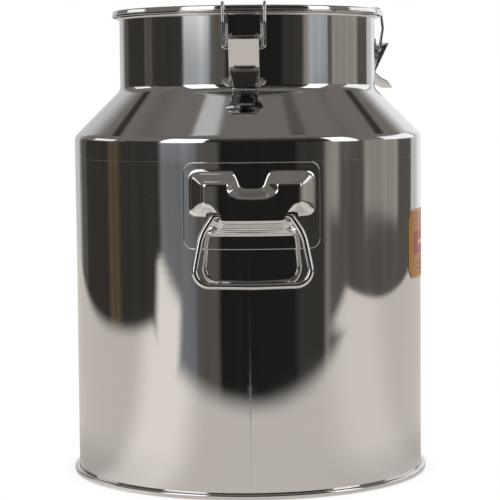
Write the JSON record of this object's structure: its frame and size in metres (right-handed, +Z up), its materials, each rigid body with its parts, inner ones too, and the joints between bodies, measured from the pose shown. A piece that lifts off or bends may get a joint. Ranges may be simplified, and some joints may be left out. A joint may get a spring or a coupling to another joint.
{
  "type": "milk can",
  "caption": "Wide-neck stainless steel milk can with a recessed sealed lid, wire draw latches over its rim and an embossed drop handle front and back.",
  "frame": {"origin": "on the can's axis, at the floor that the foot ring stands on", "axes": "+Z up along the can's axis; -Y towards the front handle, +Y towards the back handle"},
  "size_m": [0.3594, 0.3796, 0.4682],
  "materials": {
    "polished_steel": "mirror polished",
    "fitting_steel": "polished wire and stampings",
    "silicone": "matte",
    "label_film": "printed film"
  },
  "bodies": {
    "can": {"body_cylinder": "polished_steel", "shoulder_neck": "polished_steel", "bottom_plate": "polished_steel", "base_ring": "polished_steel", "handle_plate_front": "polished_steel", "handle_plate_back": "polished_steel", "label": "label_film", "latch_1_bracket": "fitting_steel", "latch_1_pin": "fitting_steel", "latch_2_bracket": "fitting_steel", "latch_2_pin": "fitting_steel", "latch_3_bracket": "fitting_steel", "latch_3_pin": "fitting_steel"},
    "lid": {"lid_pan": "polished_steel", "lid_seal": "silicone", "lid_handle": "fitting_steel"},
    "handle_bail_front": {"handle_bail_front": "fitting_steel"},
    "handle_bail_back": {"handle_bail_back": "fitting_steel"},
    "latch_1_lever": {"latch_1_lever": "fitting_steel"},
    "latch_1_bail": {"latch_1_bail": "fitting_steel"},
    "latch_2_lever": {"latch_2_lever": "fitting_steel"},
    "latch_2_bail": {"latch_2_bail": "fitting_steel"},
    "latch_3_lever": {"latch_3_lever": "fitting_steel"},
    "latch_3_bail": {"latch_3_bail": "fitting_steel"}
  },
  "joints": [
    {"name": "lid_lift", "type": "slide", "parent": "can", "child": "lid", "axis": [0, 0, 1], "range_m": [0, 0.018]},
    {"name": "handle_front_swing", "type": "hinge", "parent": "can", "child": "handle_bail_front", "pos_m": [0, -0.18, 0.2675], "axis": [-1, 0, 0], "range_deg": [0, 70]},
    {"name": "handle_back_swing", "type": "hinge", "parent": "can", "child": "handle_bail_back", "pos_m": [0, 0.18, 0.2675], "axis": [1, 0, 0], "range_deg": [0, 70]},
    {"name": "latch_1_lever_swing", "type": "hinge", "parent": "can", "child": "latch_1_lever", "pos_m": [-0.00557, -0.13288, 0.4347], "axis": [-0.9991, 0.0419, 0], "range_deg": [0, 95]},
    {"name": "latch_1_bail_swing", "type": "hinge", "parent": "latch_1_lever", "child": "latch_1_bail", "pos_m": [-0.00574, -0.13688, 0.424], "axis": [0.9991, -0.0419, 0], "range_deg": [0, 145]},
    {"name": "latch_2_lever_swing", "type": "hinge", "parent": "can", "child": "latch_2_lever", "pos_m": [0.12677, 0.04022, 0.4347], "axis": [0.3024, -0.9532, 0], "range_deg": [0, 95]},
    {"name": "latch_2_bail_swing", "type": "hinge", "parent": "latch_2_lever", "child": "latch_2_bail", "pos_m": [0.13059, 0.04142, 0.424], "axis": [-0.3024, 0.9532, 0], "range_deg": [0, 145]},
    {"name": "latch_3_lever_swing", "type": "hinge", "parent": "can", "child": "latch_3_lever", "pos_m": [-0.09821, 0.08968, 0.4347], "axis": [0.6743, 0.7385, 0], "range_deg": [0, 95]},
    {"name": "latch_3_bail_swing", "type": "hinge", "parent": "latch_3_lever", "child": "latch_3_bail", "pos_m": [-0.10117, 0.09238, 0.424], "axis": [-0.6743, -0.7385, 0], "range_deg": [0, 145]}
  ],
  "couplings": [
    {"joint": "latch_1_lever_swing", "follows": "lid_lift", "rad_per_m": 92.1},
    {"joint": "latch_1_bail_swing", "follows": "lid_lift", "rad_per_m": 140.5},
    {"joint": "latch_2_lever_swing", "follows": "lid_lift", "rad_per_m": 92.1},
    {"joint": "latch_2_bail_swing", "follows": "lid_lift", "rad_per_m": 140.5},
    {"joint": "latch_3_lever_swing", "follows": "lid_lift", "rad_per_m": 92.1},
    {"joint": "latch_3_bail_swing", "follows": "lid_lift", "rad_per_m": 140.5}
  ]
}
